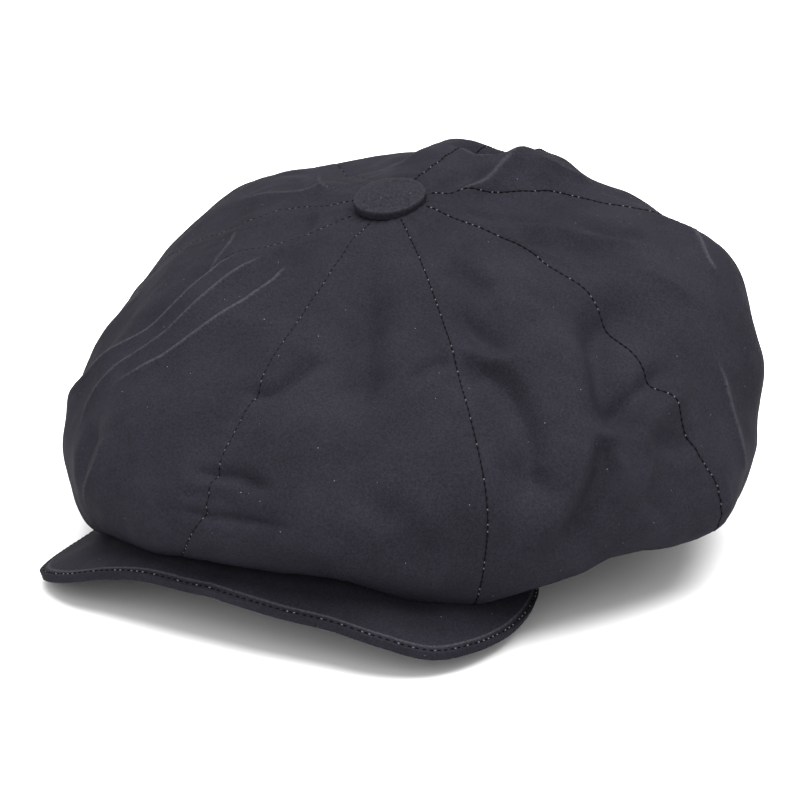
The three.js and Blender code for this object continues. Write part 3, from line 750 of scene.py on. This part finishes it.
@dataclass(frozen=True)
class BandCotton:
    """Plain-woven cotton tape, dyed black and left unwaxed, so it is duller than the crown."""

    name: str = "cotton_band_plain_woven"
    cloth: str = "#1C1C20"
    worn: str = "#2A2A2F"
    roughness: float = 0.85
    rib_spacing: float = 0.0009
    rib_depth: float = 0.00008

    def build(self) -> bpy.types.Material:
        """Material with fine upright ribs and a faint wear."""
        material, tree = new_material(self.name)
        place = add_node(tree, "TexCoord").outputs["Object"]
        cloth_map = add_node(tree, "TexCoord").outputs["UV"]
        patch = add_node(tree, "TexNoise", {"Vector": place, "Scale": 60.0, "Detail": 4.0}).outputs["Fac"]
        colour = add_node(tree, "Mix", {0: patch, 6: linear(self.cloth), 7: linear(self.worn)},
                          data_type="RGBA").outputs[2]
        ribs = add_node(tree, "TexWave", {"Vector": cloth_map, "Scale": math.pi / (10 * self.rib_spacing),
                                          "Distortion": 0.4}, bands_direction="X").outputs["Fac"]
        bump = add_node(tree, "Bump", {"Height": ribs, "Distance": self.rib_depth}).outputs["Normal"]
        shader = add_node(tree, "BsdfPrincipled", {"Base Color": colour, "Roughness": self.roughness,
                                                   "IOR": 1.5, "Normal": bump}).outputs[0]
        add_node(tree, "OutputMaterial", {"Surface": shader})
        return material


@dataclass(frozen=True)
class SewingThread:
    """Spun polyester sewing thread: two plies twisted, with a low sheen."""

    name: str
    colour: str
    roughness: float = 0.7
    specular: float = 0.03
    ply_spacing: float = 0.0005

    def build(self) -> bpy.types.Material:
        """Material with slanting plies."""
        material, tree = new_material(self.name)
        place = add_node(tree, "TexCoord").outputs["Object"]
        plies = add_node(tree, "TexWave", {"Vector": place, "Scale": math.pi / (10 * self.ply_spacing)},
                         bands_direction="DIAGONAL").outputs["Fac"]
        tone = add_node(tree, "MapRange", {"Value": plies, "To Min": 0.75, "To Max": 1.15}).outputs[0]
        colour = add_node(tree, "Mix", {0: 1.0, 6: linear(self.colour), 7: tone}, data_type="RGBA",
                          blend_type="MULTIPLY").outputs[2]
        shader = add_node(tree, "BsdfPrincipled", {"Base Color": colour, "Roughness": self.roughness,
                                                   "Specular IOR Level": self.specular}).outputs[0]
        add_node(tree, "OutputMaterial", {"Surface": shader})
        return material


@dataclass(frozen=True)
class StudioPaper:
    """Seamless white studio paper, smooth and matte."""

    name: str = "studio_paper_white"
    colour: str = "#E6E6E6"

    def build(self) -> bpy.types.Material:
        """Material of the floor."""
        material, tree = new_material(self.name)
        shader = add_node(tree, "BsdfPrincipled", {"Base Color": linear(self.colour), "Roughness": 0.9,
                                                   "Specular IOR Level": 0.0}).outputs[0]
        add_node(tree, "OutputMaterial", {"Surface": shader})
        return material


@dataclass
class CrownPanel:
    """One gore of the crown: a cut of cloth from the tip under the button to the hem at the band."""

    node: str
    index: int
    cloth: FoldedCloth
    columns: int = 84
    rows: int = 190
    tip_rows: float = 0.04
    edge_crowding: float = 0.45
    edge_gap: float = 0.00002
    wall: float = 0.0012

    def edges(self, share: Array) -> tuple[Array, Array]:
        """Azimuth of the panel's middle, and its half width in degrees, at each share."""
        left = self.cloth.seam_azimuth(self.index, share)
        right = self.cloth.seam_azimuth(self.index + 1, share)
        return (left + right) / 2, (right - left) / 2

    def build(self, material: bpy.types.Material) -> bpy.types.Object:
        """The finished panel."""
        form = self.cloth.form
        piece, across, up = grid_piece(f"{self.node}_cloth", self.columns, self.rows)
        along = 1 - up
        crowded = across - self.edge_crowding * np.sin(2 * math.pi * across) / (2 * math.pi)
        share = np.clip((along - self.tip_rows) / (1 - self.tip_rows), 0, 1)
        middle, half = self.edges(share)
        reach = np.hypot(*form.bare(middle, share)[:, :2].T)
        tip = np.clip(along / self.tip_rows, 0, 1)
        inset = np.degrees(self.edge_gap / np.maximum(reach * tip, form.tip_radius))
        azimuth = middle + (2 * crowded - 1) * (half - inset)
        points, wear_and_highlight = self.cloth.shape(azimuth, share)
        seat = points - form.centre
        centre = np.array([0, 0, form.height])
        small = form.tip_radius / (form.button_diameter / 2 + form.wall)
        in_tip = tip < 1
        scale = (small + (1 - small) * tip)[:, None]
        points[in_tip] = (centre + (seat - centre) * scale)[in_tip] + form.centre
        place_corners(piece, points)
        # Paleness of the crests: rubbed wax and painted highlight.
        write_attribute(piece, "wear_and_highlight", wear_and_highlight)
        arc = np.radians(azimuth - middle) * reach
        length = along * 1.6 * form.reach
        write_uv(piece, arc, length)
        apply_modifier(piece, "SOLIDIFY", thickness=self.wall, offset=-1.0, use_even_offset=False,
                       use_quality_normals=True)
        finish_piece(piece, material, "crown_cloth", self.node)
        self.declare()
        return piece

    def declare(self) -> None:
        """Work out the line down the middle of the cut; nothing further is done with it."""
        form = self.cloth.form
        share = np.linspace(0, 1, 60)
        middle, half = self.edges(share)
        line = form.bare(middle, share)


@dataclass
class Peak:
    """Stiff board covered in the crown's cloth, with one row of stitches round its edge and a highlight
    painted along the upper corner of the edge.
    """

    form: CrownForm
    columns: int = 220
    rows: int = 60
    edge_round: float = 0.0011
    groove_inset: float = 0.0016
    groove_width: float = 0.0007
    groove_depth: float = 0.0002
    ridge_inset: float = 0.0036
    # Strength of the highlight painted along the upper corner of the edge.
    ridge_highlight: float = 0.6
    ripple: Ripple = Ripple(0.045, 0.00022, 21)

    def surface(self, azimuth: Array, share: Array) -> Array:
        """Points of the peak's upper face, in the shared frame."""
        seat = self.form.band_seat(azimuth)
        edge, _ = self.form.peak_edge(azimuth)
        radius = seat + (edge - seat) * share
        inset = (1 - share) * (edge - seat)
        groove = self.groove_depth * np.exp(-((inset - self.groove_inset) / self.groove_width) ** 2)
        points = round_head(azimuth, radius, self.form.peak_top(azimuth, share) - groove)
        points[:, 2] += self.ripple.at(points) * ease(0, 0.3, share) - 0.0003 * ease(0, 0.3, share)
        return points + self.form.centre

    def build(self, material: bpy.types.Material) -> bpy.types.Object:
        """The finished peak."""
        piece, across, up = grid_piece("peak_cover", self.columns, self.rows)
        azimuth = (2 * across - 1) * self.form.peak_half_angle
        out = 1 - up
        share = out + 0.7 * np.sin(math.pi * out) * (1 - out) * out
        place_corners(piece, self.surface(azimuth, share))
        edge, _ = self.form.peak_edge(azimuth)
        inset = (1 - share) * (edge - self.form.band_seat(azimuth))
        # Pale line along the upper corner of the edge: a painted highlight.
        ridge = np.exp(-((inset - self.ridge_inset) / self.groove_width) ** 2)
        write_attribute(piece, "wear_and_highlight", self.ridge_highlight * ridge)
        write_uv(piece, np.radians(azimuth) * self.form.head_width / 2, share * self.form.peak_depth)
        apply_modifier(piece, "SOLIDIFY", thickness=self.form.peak_thickness - 0.0003, offset=-1.0,
                       use_even_offset=False)
        apply_modifier(piece, "BEVEL", width=self.edge_round, segments=4, limit_method="ANGLE",
                       angle_limit=math.radians(50))
        finish_piece(piece, material, "peak_cloth", "peak")
        return piece


@dataclass
class CoveredButton:
    """Flat button covered in the crown's cloth, sewn on where the panels meet."""

    form: CrownForm
    side: float = 0.0034
    dome: float = 0.0026
    rim_round: float = 0.0013
    shank: float = 0.0008
    sides: int = 64
    tuck_depth: float = 0.00012
    # Paleness over the whole upper face: a painted highlight where it faces the light from above.
    face_painted_light: float = 0.25
    rim_wear: float = 0.06

    def build(self, material: bpy.types.Material) -> bpy.types.Object:
        """The finished button."""
        radius = self.form.button_diameter / 2
        deselect()
        bpy.ops.mesh.primitive_cylinder_add(vertices=self.sides, radius=radius, depth=self.side,
                                            location=(0, 0, self.side / 2), end_fill_type="NGON")
        piece = bpy.context.object
        piece.name = "button_cover"
        deselect()
        piece.select_set(True)
        bpy.ops.object.transform_apply(location=True, rotation=False, scale=False)
        self.raise_dome(piece, radius)
        apply_modifier(piece, "BEVEL", width=self.rim_round, segments=4, limit_method="ANGLE",
                       angle_limit=math.radians(40))
        apply_modifier(piece, "SUBSURF", levels=1, render_levels=1)
        points = positions(piece)
        azimuth = np.arctan2(points[:, 1], points[:, 0])
        out = np.hypot(points[:, 0], points[:, 1]) / radius
        low = 1 - ease(0.3, 0.8, points[:, 2] / self.side)
        tuck = self.tuck_depth * np.sin(26 * azimuth) * ease(0.8, 1.0, out) * low
        points[:, :2] *= (1 + tuck / radius)[:, None]
        points[:, 2] += Ripple(0.009, 0.00005, 31).at(points) * (points[:, 2] > self.side / 2)
        place_corners(piece, points)
        up = Vector((-self.form.tilt_left, -self.form.tilt_back, 1)).normalized()
        turn = Vector((0, 0, 1)).rotation_difference(up).to_matrix().to_4x4()
        top = Vector(self.form.centre) + Vector((0, 0, self.form.height)) + up * self.shank
        piece.data.transform(Matrix.Translation(top) @ turn)
        # Upper face painted paler as a highlight from the light above; towards the rim it is rubbed paler as
        # well.
        rubbed_and_highlit = self.face_painted_light + self.rim_wear * ease(0.82, 0.95, out)
        write_attribute(piece, "wear_and_highlight", rubbed_and_highlit * (points[:, 2] > self.side * 0.7))
        finish_piece(piece, material, "crown_cloth", "button")
        return piece

    def raise_dome(self, piece: bpy.types.Object, radius: float) -> None:
        """Inset the upper face ring by ring, and lift each ring into a low dome."""
        rings = 7
        bpy.ops.object.mode_set(mode="EDIT")
        bpy.ops.mesh.select_all(action="DESELECT")
        bpy.ops.object.mode_set(mode="OBJECT")
        for face in piece.data.polygons:
            face.select = face.normal.z > 0.9
        bpy.ops.object.mode_set(mode="EDIT")
        lifted = 0.0
        for ring in range(1, rings + 1):
            out = math.cos(math.pi / 2 * ring / (rings + 1))
            before = math.cos(math.pi / 2 * (ring - 1) / (rings + 1))
            bpy.ops.mesh.inset(thickness=(before - out) * radius)
            height = self.dome * (1 - out ** 2.6) - lifted
            bpy.ops.transform.translate(value=(0, 0, height))
            lifted += height
        bpy.ops.object.mode_set(mode="OBJECT")


@dataclass
class Sweatband:
    """Oval strip of cotton inside the hem, folded over at both edges and stitched near the lower one."""

    form: CrownForm
    columns: int = 240
    rows: int = 26
    wall: float = 0.0019
    edge_round: float = 0.0007
    stitch_rise: float = 0.004

    def build(self, material: bpy.types.Material) -> bpy.types.Object:
        """The finished band."""
        deselect()
        bpy.ops.mesh.primitive_cylinder_add(vertices=self.columns, radius=1, depth=1, end_fill_type="NOTHING")
        piece = bpy.context.object
        piece.name = "sweatband_cover"
        self.add_rows(piece)
        flat = positions(piece)
        azimuth = np.degrees(np.arctan2(flat[:, 0], -flat[:, 1]))
        share = flat[:, 2] + 0.5
        height = self.form.band_foot(azimuth) + share * self.form.band_height
        groove = 0.0002 * np.exp(-((share * self.form.band_height - self.stitch_rise) / 0.0006) ** 2)
        radius = self.form.head_radius(azimuth) + self.form.band_wall - groove
        place_corners(piece, round_head(azimuth, radius, height) + self.form.centre)
        write_uv(piece, np.radians(azimuth) * self.form.head_length / 2, height)
        write_attribute(piece, "wear_and_highlight", np.zeros(len(flat)))
        apply_modifier(piece, "SOLIDIFY", thickness=self.wall, offset=-1.0)
        apply_modifier(piece, "BEVEL", width=self.edge_round, segments=3, limit_method="ANGLE",
                       angle_limit=math.radians(50))
        finish_piece(piece, material, "band_cloth", "sweatband")
        return piece

    def add_rows(self, piece: bpy.types.Object) -> None:
        """Cut the open tube into rows."""
        bpy.ops.object.mode_set(mode="EDIT")
        for row in range(1, self.rows):
            bpy.ops.mesh.select_all(action="SELECT")
            bpy.ops.mesh.bisect(plane_co=(0, 0, row / self.rows - 0.5), plane_no=(0, 0, 1))
        bpy.ops.object.mode_set(mode="OBJECT")


@dataclass
class Stitching:
    """Rows of sewing stitches: one is modelled, and each copy has its place along the row."""

    form: CrownForm
    cloth: FoldedCloth
    peak: Peak
    pitch: float = 0.0028
    length: float = 0.0018
    thread: float = 0.00062
    sunk: float = 0.0001
    # Size and share of the grey flecks between stitches, which are painted highlight.
    fleck_length: float = 0.0008
    fleck_width: float = 0.0005
    fleck_share: float = 0.4
    tack: tuple[tuple[float, float], ...] = ((41.6, 0.1), (42.9, 0.05), (44.2, 0.11), (45.5, 0.06))

    def one_stitch(self, length: float, width: float) -> tuple[Array, Array]:
        """Corners and faces of one stitch along +X: a thread that dips into the cloth at both ends."""
        deselect()
        bpy.ops.mesh.primitive_cylinder_add(vertices=6, radius=0.5, depth=1, rotation=(0, math.pi / 2, 0),
                                            end_fill_type="TRIFAN")
        piece = bpy.context.object
        deselect()
        piece.select_set(True)
        bpy.ops.object.transform_apply(location=False, rotation=True, scale=False)
        bpy.ops.object.mode_set(mode="EDIT")
        for cut in (-0.28, 0.28):
            bpy.ops.mesh.select_all(action="SELECT")
            bpy.ops.mesh.bisect(plane_co=(cut, 0, 0), plane_no=(1, 0, 0))
        bpy.ops.mesh.select_all(action="SELECT")
        bpy.ops.mesh.quads_convert_to_tris()
        bpy.ops.object.mode_set(mode="OBJECT")
        points = positions(piece)
        end = ease(0.25, 0.5, np.abs(points[:, 0]))
        points[:, 1:] *= (1 - 0.45 * end)[:, None]
        points[:, 2] -= 0.9 * end
        points *= (length, width, width)
        faces = np.array([list(face.vertices) for face in piece.data.polygons])
        bpy.data.objects.remove(piece)
        return points, faces

    def row(self, name: str, line: Array, normals: Array, material: bpy.types.Material, slot: str,
            seed: int = 0) -> bpy.types.Object:
        """One row of stitches as a joined mesh.

        Args:
            name: Name of the piece.
            line: Points along the row.
            normals: Outward direction at each point.
            material: Its thread.
            slot: Name of a record slot, handed on to finish_piece.
            seed: Seed of the small unevenness of the row.

        Returns:
            The finished row.
        """
        lengths = self.lengths(line)
        count = int(lengths[-1] / self.pitch + 0.01)
        draw = np.random.default_rng(seed)
        middles = (np.arange(count) + 0.5) * self.pitch + draw.normal(0, 0.00008, count)
        stitch = self.one_stitch(self.length, self.thread)
        return self.place(name, line, normals, middles, stitch, self.thread / 2 - self.sunk, material, slot)

    def highlight_flecks(self, name: str, line: Array, normals: Array, material: bpy.types.Material, slot: str,
               seed: int = 0) -> bpy.types.Object:
        """Pale flecks in some of the gaps between a row's stitches: a painted highlight where the cloth
        between the stitches catches the light, made as short grey threads.
        """
        lengths = self.lengths(line)
        draw = np.random.default_rng(seed)
        gaps = np.arange(1, int(lengths[-1] / self.pitch)) * self.pitch
        gaps = gaps[draw.random(len(gaps)) < self.fleck_share]
        highlight_fleck = self.one_stitch(self.fleck_length, self.fleck_width)
        return self.place(name, line, normals, gaps, highlight_fleck, self.fleck_width / 3, material, slot)

    def lengths(self, line: Array) -> Array:
        """Length along a line at each of its points."""
        return np.concatenate([[0], np.cumsum(np.linalg.norm(np.diff(line, axis=0), axis=1))])

    def place(self, name: str, line: Array, normals: Array, middles: Array, stitch: tuple[Array, Array],
              lift: float, material: bpy.types.Material, slot: str) -> bpy.types.Object:
        """Copies of one stitch along a line, as a joined mesh.

        Args:
            name: Name of the piece.
            line: Points along the row.
            normals: Outward direction at each point.
            middles: Where each copy's middle lies along the line.
            stitch: Corners and faces of the stitch.
            lift: How far its middle stands out from the line.
            material: Its thread.
            slot: Name of a record slot, handed on to finish_piece.

        Returns:
            The finished piece.
        """
        lengths = self.lengths(line)

        def sample(at: Array, values: Array) -> Array:
            """Values at some lengths along the line."""
            return np.stack([np.interp(at, lengths, column) for column in values.T], axis=1)

        points = sample(middles, line)
        ahead = unit(sample(middles + self.pitch / 4, line) - sample(middles - self.pitch / 4, line))
        up = unit(sample(middles, normals))
        side = unit(np.cross(up, ahead))
        up = np.cross(ahead, side)
        corners, faces = stitch
        along, across, height = corners.T[:, None, :, None]
        placed = (points[:, None] + along * ahead[:, None] + across * side[:, None]
                  + (height + lift) * up[:, None]).reshape(-1, 3)
        firsts = np.arange(len(middles)) * len(corners)
        all_faces = (faces[None] + firsts[:, None, None]).reshape(-1, faces.shape[1])
        mesh = bpy.data.meshes.new(name)
        mesh.from_pydata(placed.tolist(), [], all_faces.tolist())
        piece = bpy.data.objects.new(name, mesh)
        bpy.context.collection.objects.link(piece)
        finish_piece(piece, material, slot)
        return piece

    def seam(self, index: int, thread: bpy.types.Material, pale: bpy.types.Material) -> None:
        """Stitches along one seam of the crown, and the pale flecks of painted highlight between them."""
        share = np.linspace(0.0, 0.97, 500)
        around = self.cloth.seam_azimuth(index, share)
        line, _ = self.cloth.shape(around, share)
        normals = self.form.outward(around, share)
        self.row(f"seam_stitches_{index + 1}", line, normals, thread, "crown_cloth", index)
        # Grey flecks between the stitches: painted highlight.
        self.highlight_flecks(f"seam_highlight_flecks_{index + 1}", line, normals, pale, "crown_cloth", index)

    def peak_face(self, azimuth: Array, inset: Array) -> tuple[Array, Array]:
        """Points of the peak's upper face at a distance in from its edge, and its outward direction."""
        seat = self.form.band_seat(azimuth)
        edge, _ = self.form.peak_edge(azimuth)
        share = 1 - inset / np.maximum(edge - seat, 0.0036)
        step = 0.3
        round_ = self.peak.surface(azimuth + step, share) - self.peak.surface(azimuth - step, share)
        outer = self.peak.surface(azimuth, np.minimum(share + 0.02, 1))
        out = outer - self.peak.surface(azimuth, share - 0.02)
        return self.peak.surface(azimuth, share), unit(np.cross(out, round_))

    def peak_row(self, thread: bpy.types.Material, pale: bpy.types.Material) -> None:
        """Stitches round the peak's edge."""
        azimuth = np.linspace(-0.93, 0.93, 700) * self.form.peak_half_angle
        line, normals = self.peak_face(azimuth, np.full(700, self.peak.groove_inset))
        self.row("peak_stitches", line, normals, thread, "peak_cloth", 50)
        # Grey flecks between the stitches: painted highlight.
        self.highlight_flecks("peak_highlight_flecks", line, normals, pale, "peak_cloth", 51)

    def tack_row(self, pale: bpy.types.Material) -> None:
        """Three pale tacking stitches on the peak, under the lower end of the left front seam."""
        azimuth, depth = np.array(self.tack).T
        seat = self.form.band_seat(azimuth)
        edge, _ = self.form.peak_edge(azimuth)
        line, normals = self.peak_face(azimuth, (edge - seat) * (1 - depth))
        self.row("tack_stitches", line, normals, pale, "peak_cloth", 60)


@dataclass
class Studio:
    """Floor, lights and camera."""

    form: CrownForm
    azimuth: float = 30.0
    elevation: float = 18.5
    distance: float = 1.2
    lens: float = 132.7
    aim_height: float = 0.0578
    aim_right: float = 0.00366
    floor_size: float = 60.0
    ambient: float = 1.15
    overhead: float = 6.4
    softness: float = 60.0
    fill: float = 1.1

    def build(self) -> None:
        """Make the floor, the lights and the camera."""
        self.add_floor()
        self.add_world()
        self.add_sun("overhead_light", (0.14, 0.08, 1.0), self.overhead, self.softness)
        self.add_sun("front_light", (0.1, -1.0, 0.5), self.fill, self.softness)
        self.add_camera()

    def add_floor(self) -> None:
        """Seamless paper on the surface that the cap rests on."""
        deselect()
        bpy.ops.mesh.primitive_plane_add(size=self.floor_size)
        floor = bpy.context.object
        floor.name = "studio_floor"
        floor.data.materials.append(StudioPaper().build())

    def add_world(self) -> None:
        """Even white light from all round."""
        world = bpy.data.worlds.new("studio_air")
        world.use_nodes = True
        background = world.node_tree.nodes["Background"]
        background.inputs["Color"].default_value = (1, 1, 1, 1)
        background.inputs["Strength"].default_value = self.ambient
        bpy.context.scene.world = world

    def add_sun(self, name: str, towards: tuple[float, float, float], strength: float,
                softness: float) -> None:
        """Large soft light.

        Args:
            name: Name of the light.
            towards: Direction from the cap to the light.
            strength: Its irradiance.
            softness: Its apparent width in degrees.
        """
        light = bpy.data.lights.new(name, "SUN")
        light.energy = strength
        light.angle = math.radians(softness)
        lamp = bpy.data.objects.new(name, light)
        lamp.rotation_euler = Vector(towards).to_track_quat("Z", "Y").to_euler()
        bpy.context.collection.objects.link(lamp)

    def add_camera(self) -> None:
        """Camera at the viewing angle of the reference view."""
        turn = math.radians(self.azimuth)
        rise = math.radians(self.elevation)
        right = Vector((math.cos(turn), math.sin(turn), 0))
        away = Vector((math.sin(turn) * math.cos(rise), -math.cos(turn) * math.cos(rise), math.sin(rise)))
        target = Vector(self.form.centre) + Vector((0, 0, self.aim_height)) + right * self.aim_right
        camera = bpy.data.cameras.new("camera")
        camera.lens = self.lens
        camera.sensor_width = 36.0
        camera.clip_start = 0.01
        seat = bpy.data.objects.new("camera", camera)
        seat.location = target + away * self.distance
        seat.rotation_euler = away.to_track_quat("Z", "Y").to_euler()
        bpy.context.collection.objects.link(seat)
        bpy.context.scene.camera = seat


PANEL_NAMES = (
    "panel_front_left", "panel_left_front", "panel_left_back", "panel_back_left",
    "panel_back_right", "panel_right_back", "panel_right_front", "panel_front_right",
)
FOLDED_PANELS = (0, 1, 2, 6, 7)  # those with narrow folds, which need a finer grid


def main() -> None:
    """Build the cap and its studio."""
    logging.basicConfig(level=logging.INFO, format="%(name)s %(message)s")
    form = CrownForm()
    cloth = FoldedCloth(form)
    waxed = WaxedCotton().build()
    band_cotton = BandCotton().build()
    dark_thread = SewingThread("sewing_thread_black", "#0A0A0B").build()
    # Grey thread for the tacking stitches, and for the flecks of painted highlight between stitches.
    grey_thread_and_highlight = SewingThread("sewing_thread_grey_and_highlight", "#5A5A5E").build()
    for index, node in enumerate(PANEL_NAMES):
        size = {"columns": 116, "rows": 256} if index in FOLDED_PANELS else {}
        CrownPanel(node, index, cloth, **size).build(waxed)
    peak = Peak(form)
    peak.build(waxed)
    CoveredButton(form).build(waxed)
    Sweatband(form).build(band_cotton)
    stitching = Stitching(form, cloth, peak)
    for index in range(cloth.panels):
        stitching.seam(index, dark_thread, grey_thread_and_highlight)
    stitching.peak_row(dark_thread, grey_thread_and_highlight)
    stitching.tack_row(grey_thread_and_highlight)
    Studio(form).build()
    bpy.context.scene.view_settings.view_transform = "Standard"


if __name__ == "__main__":
    main()
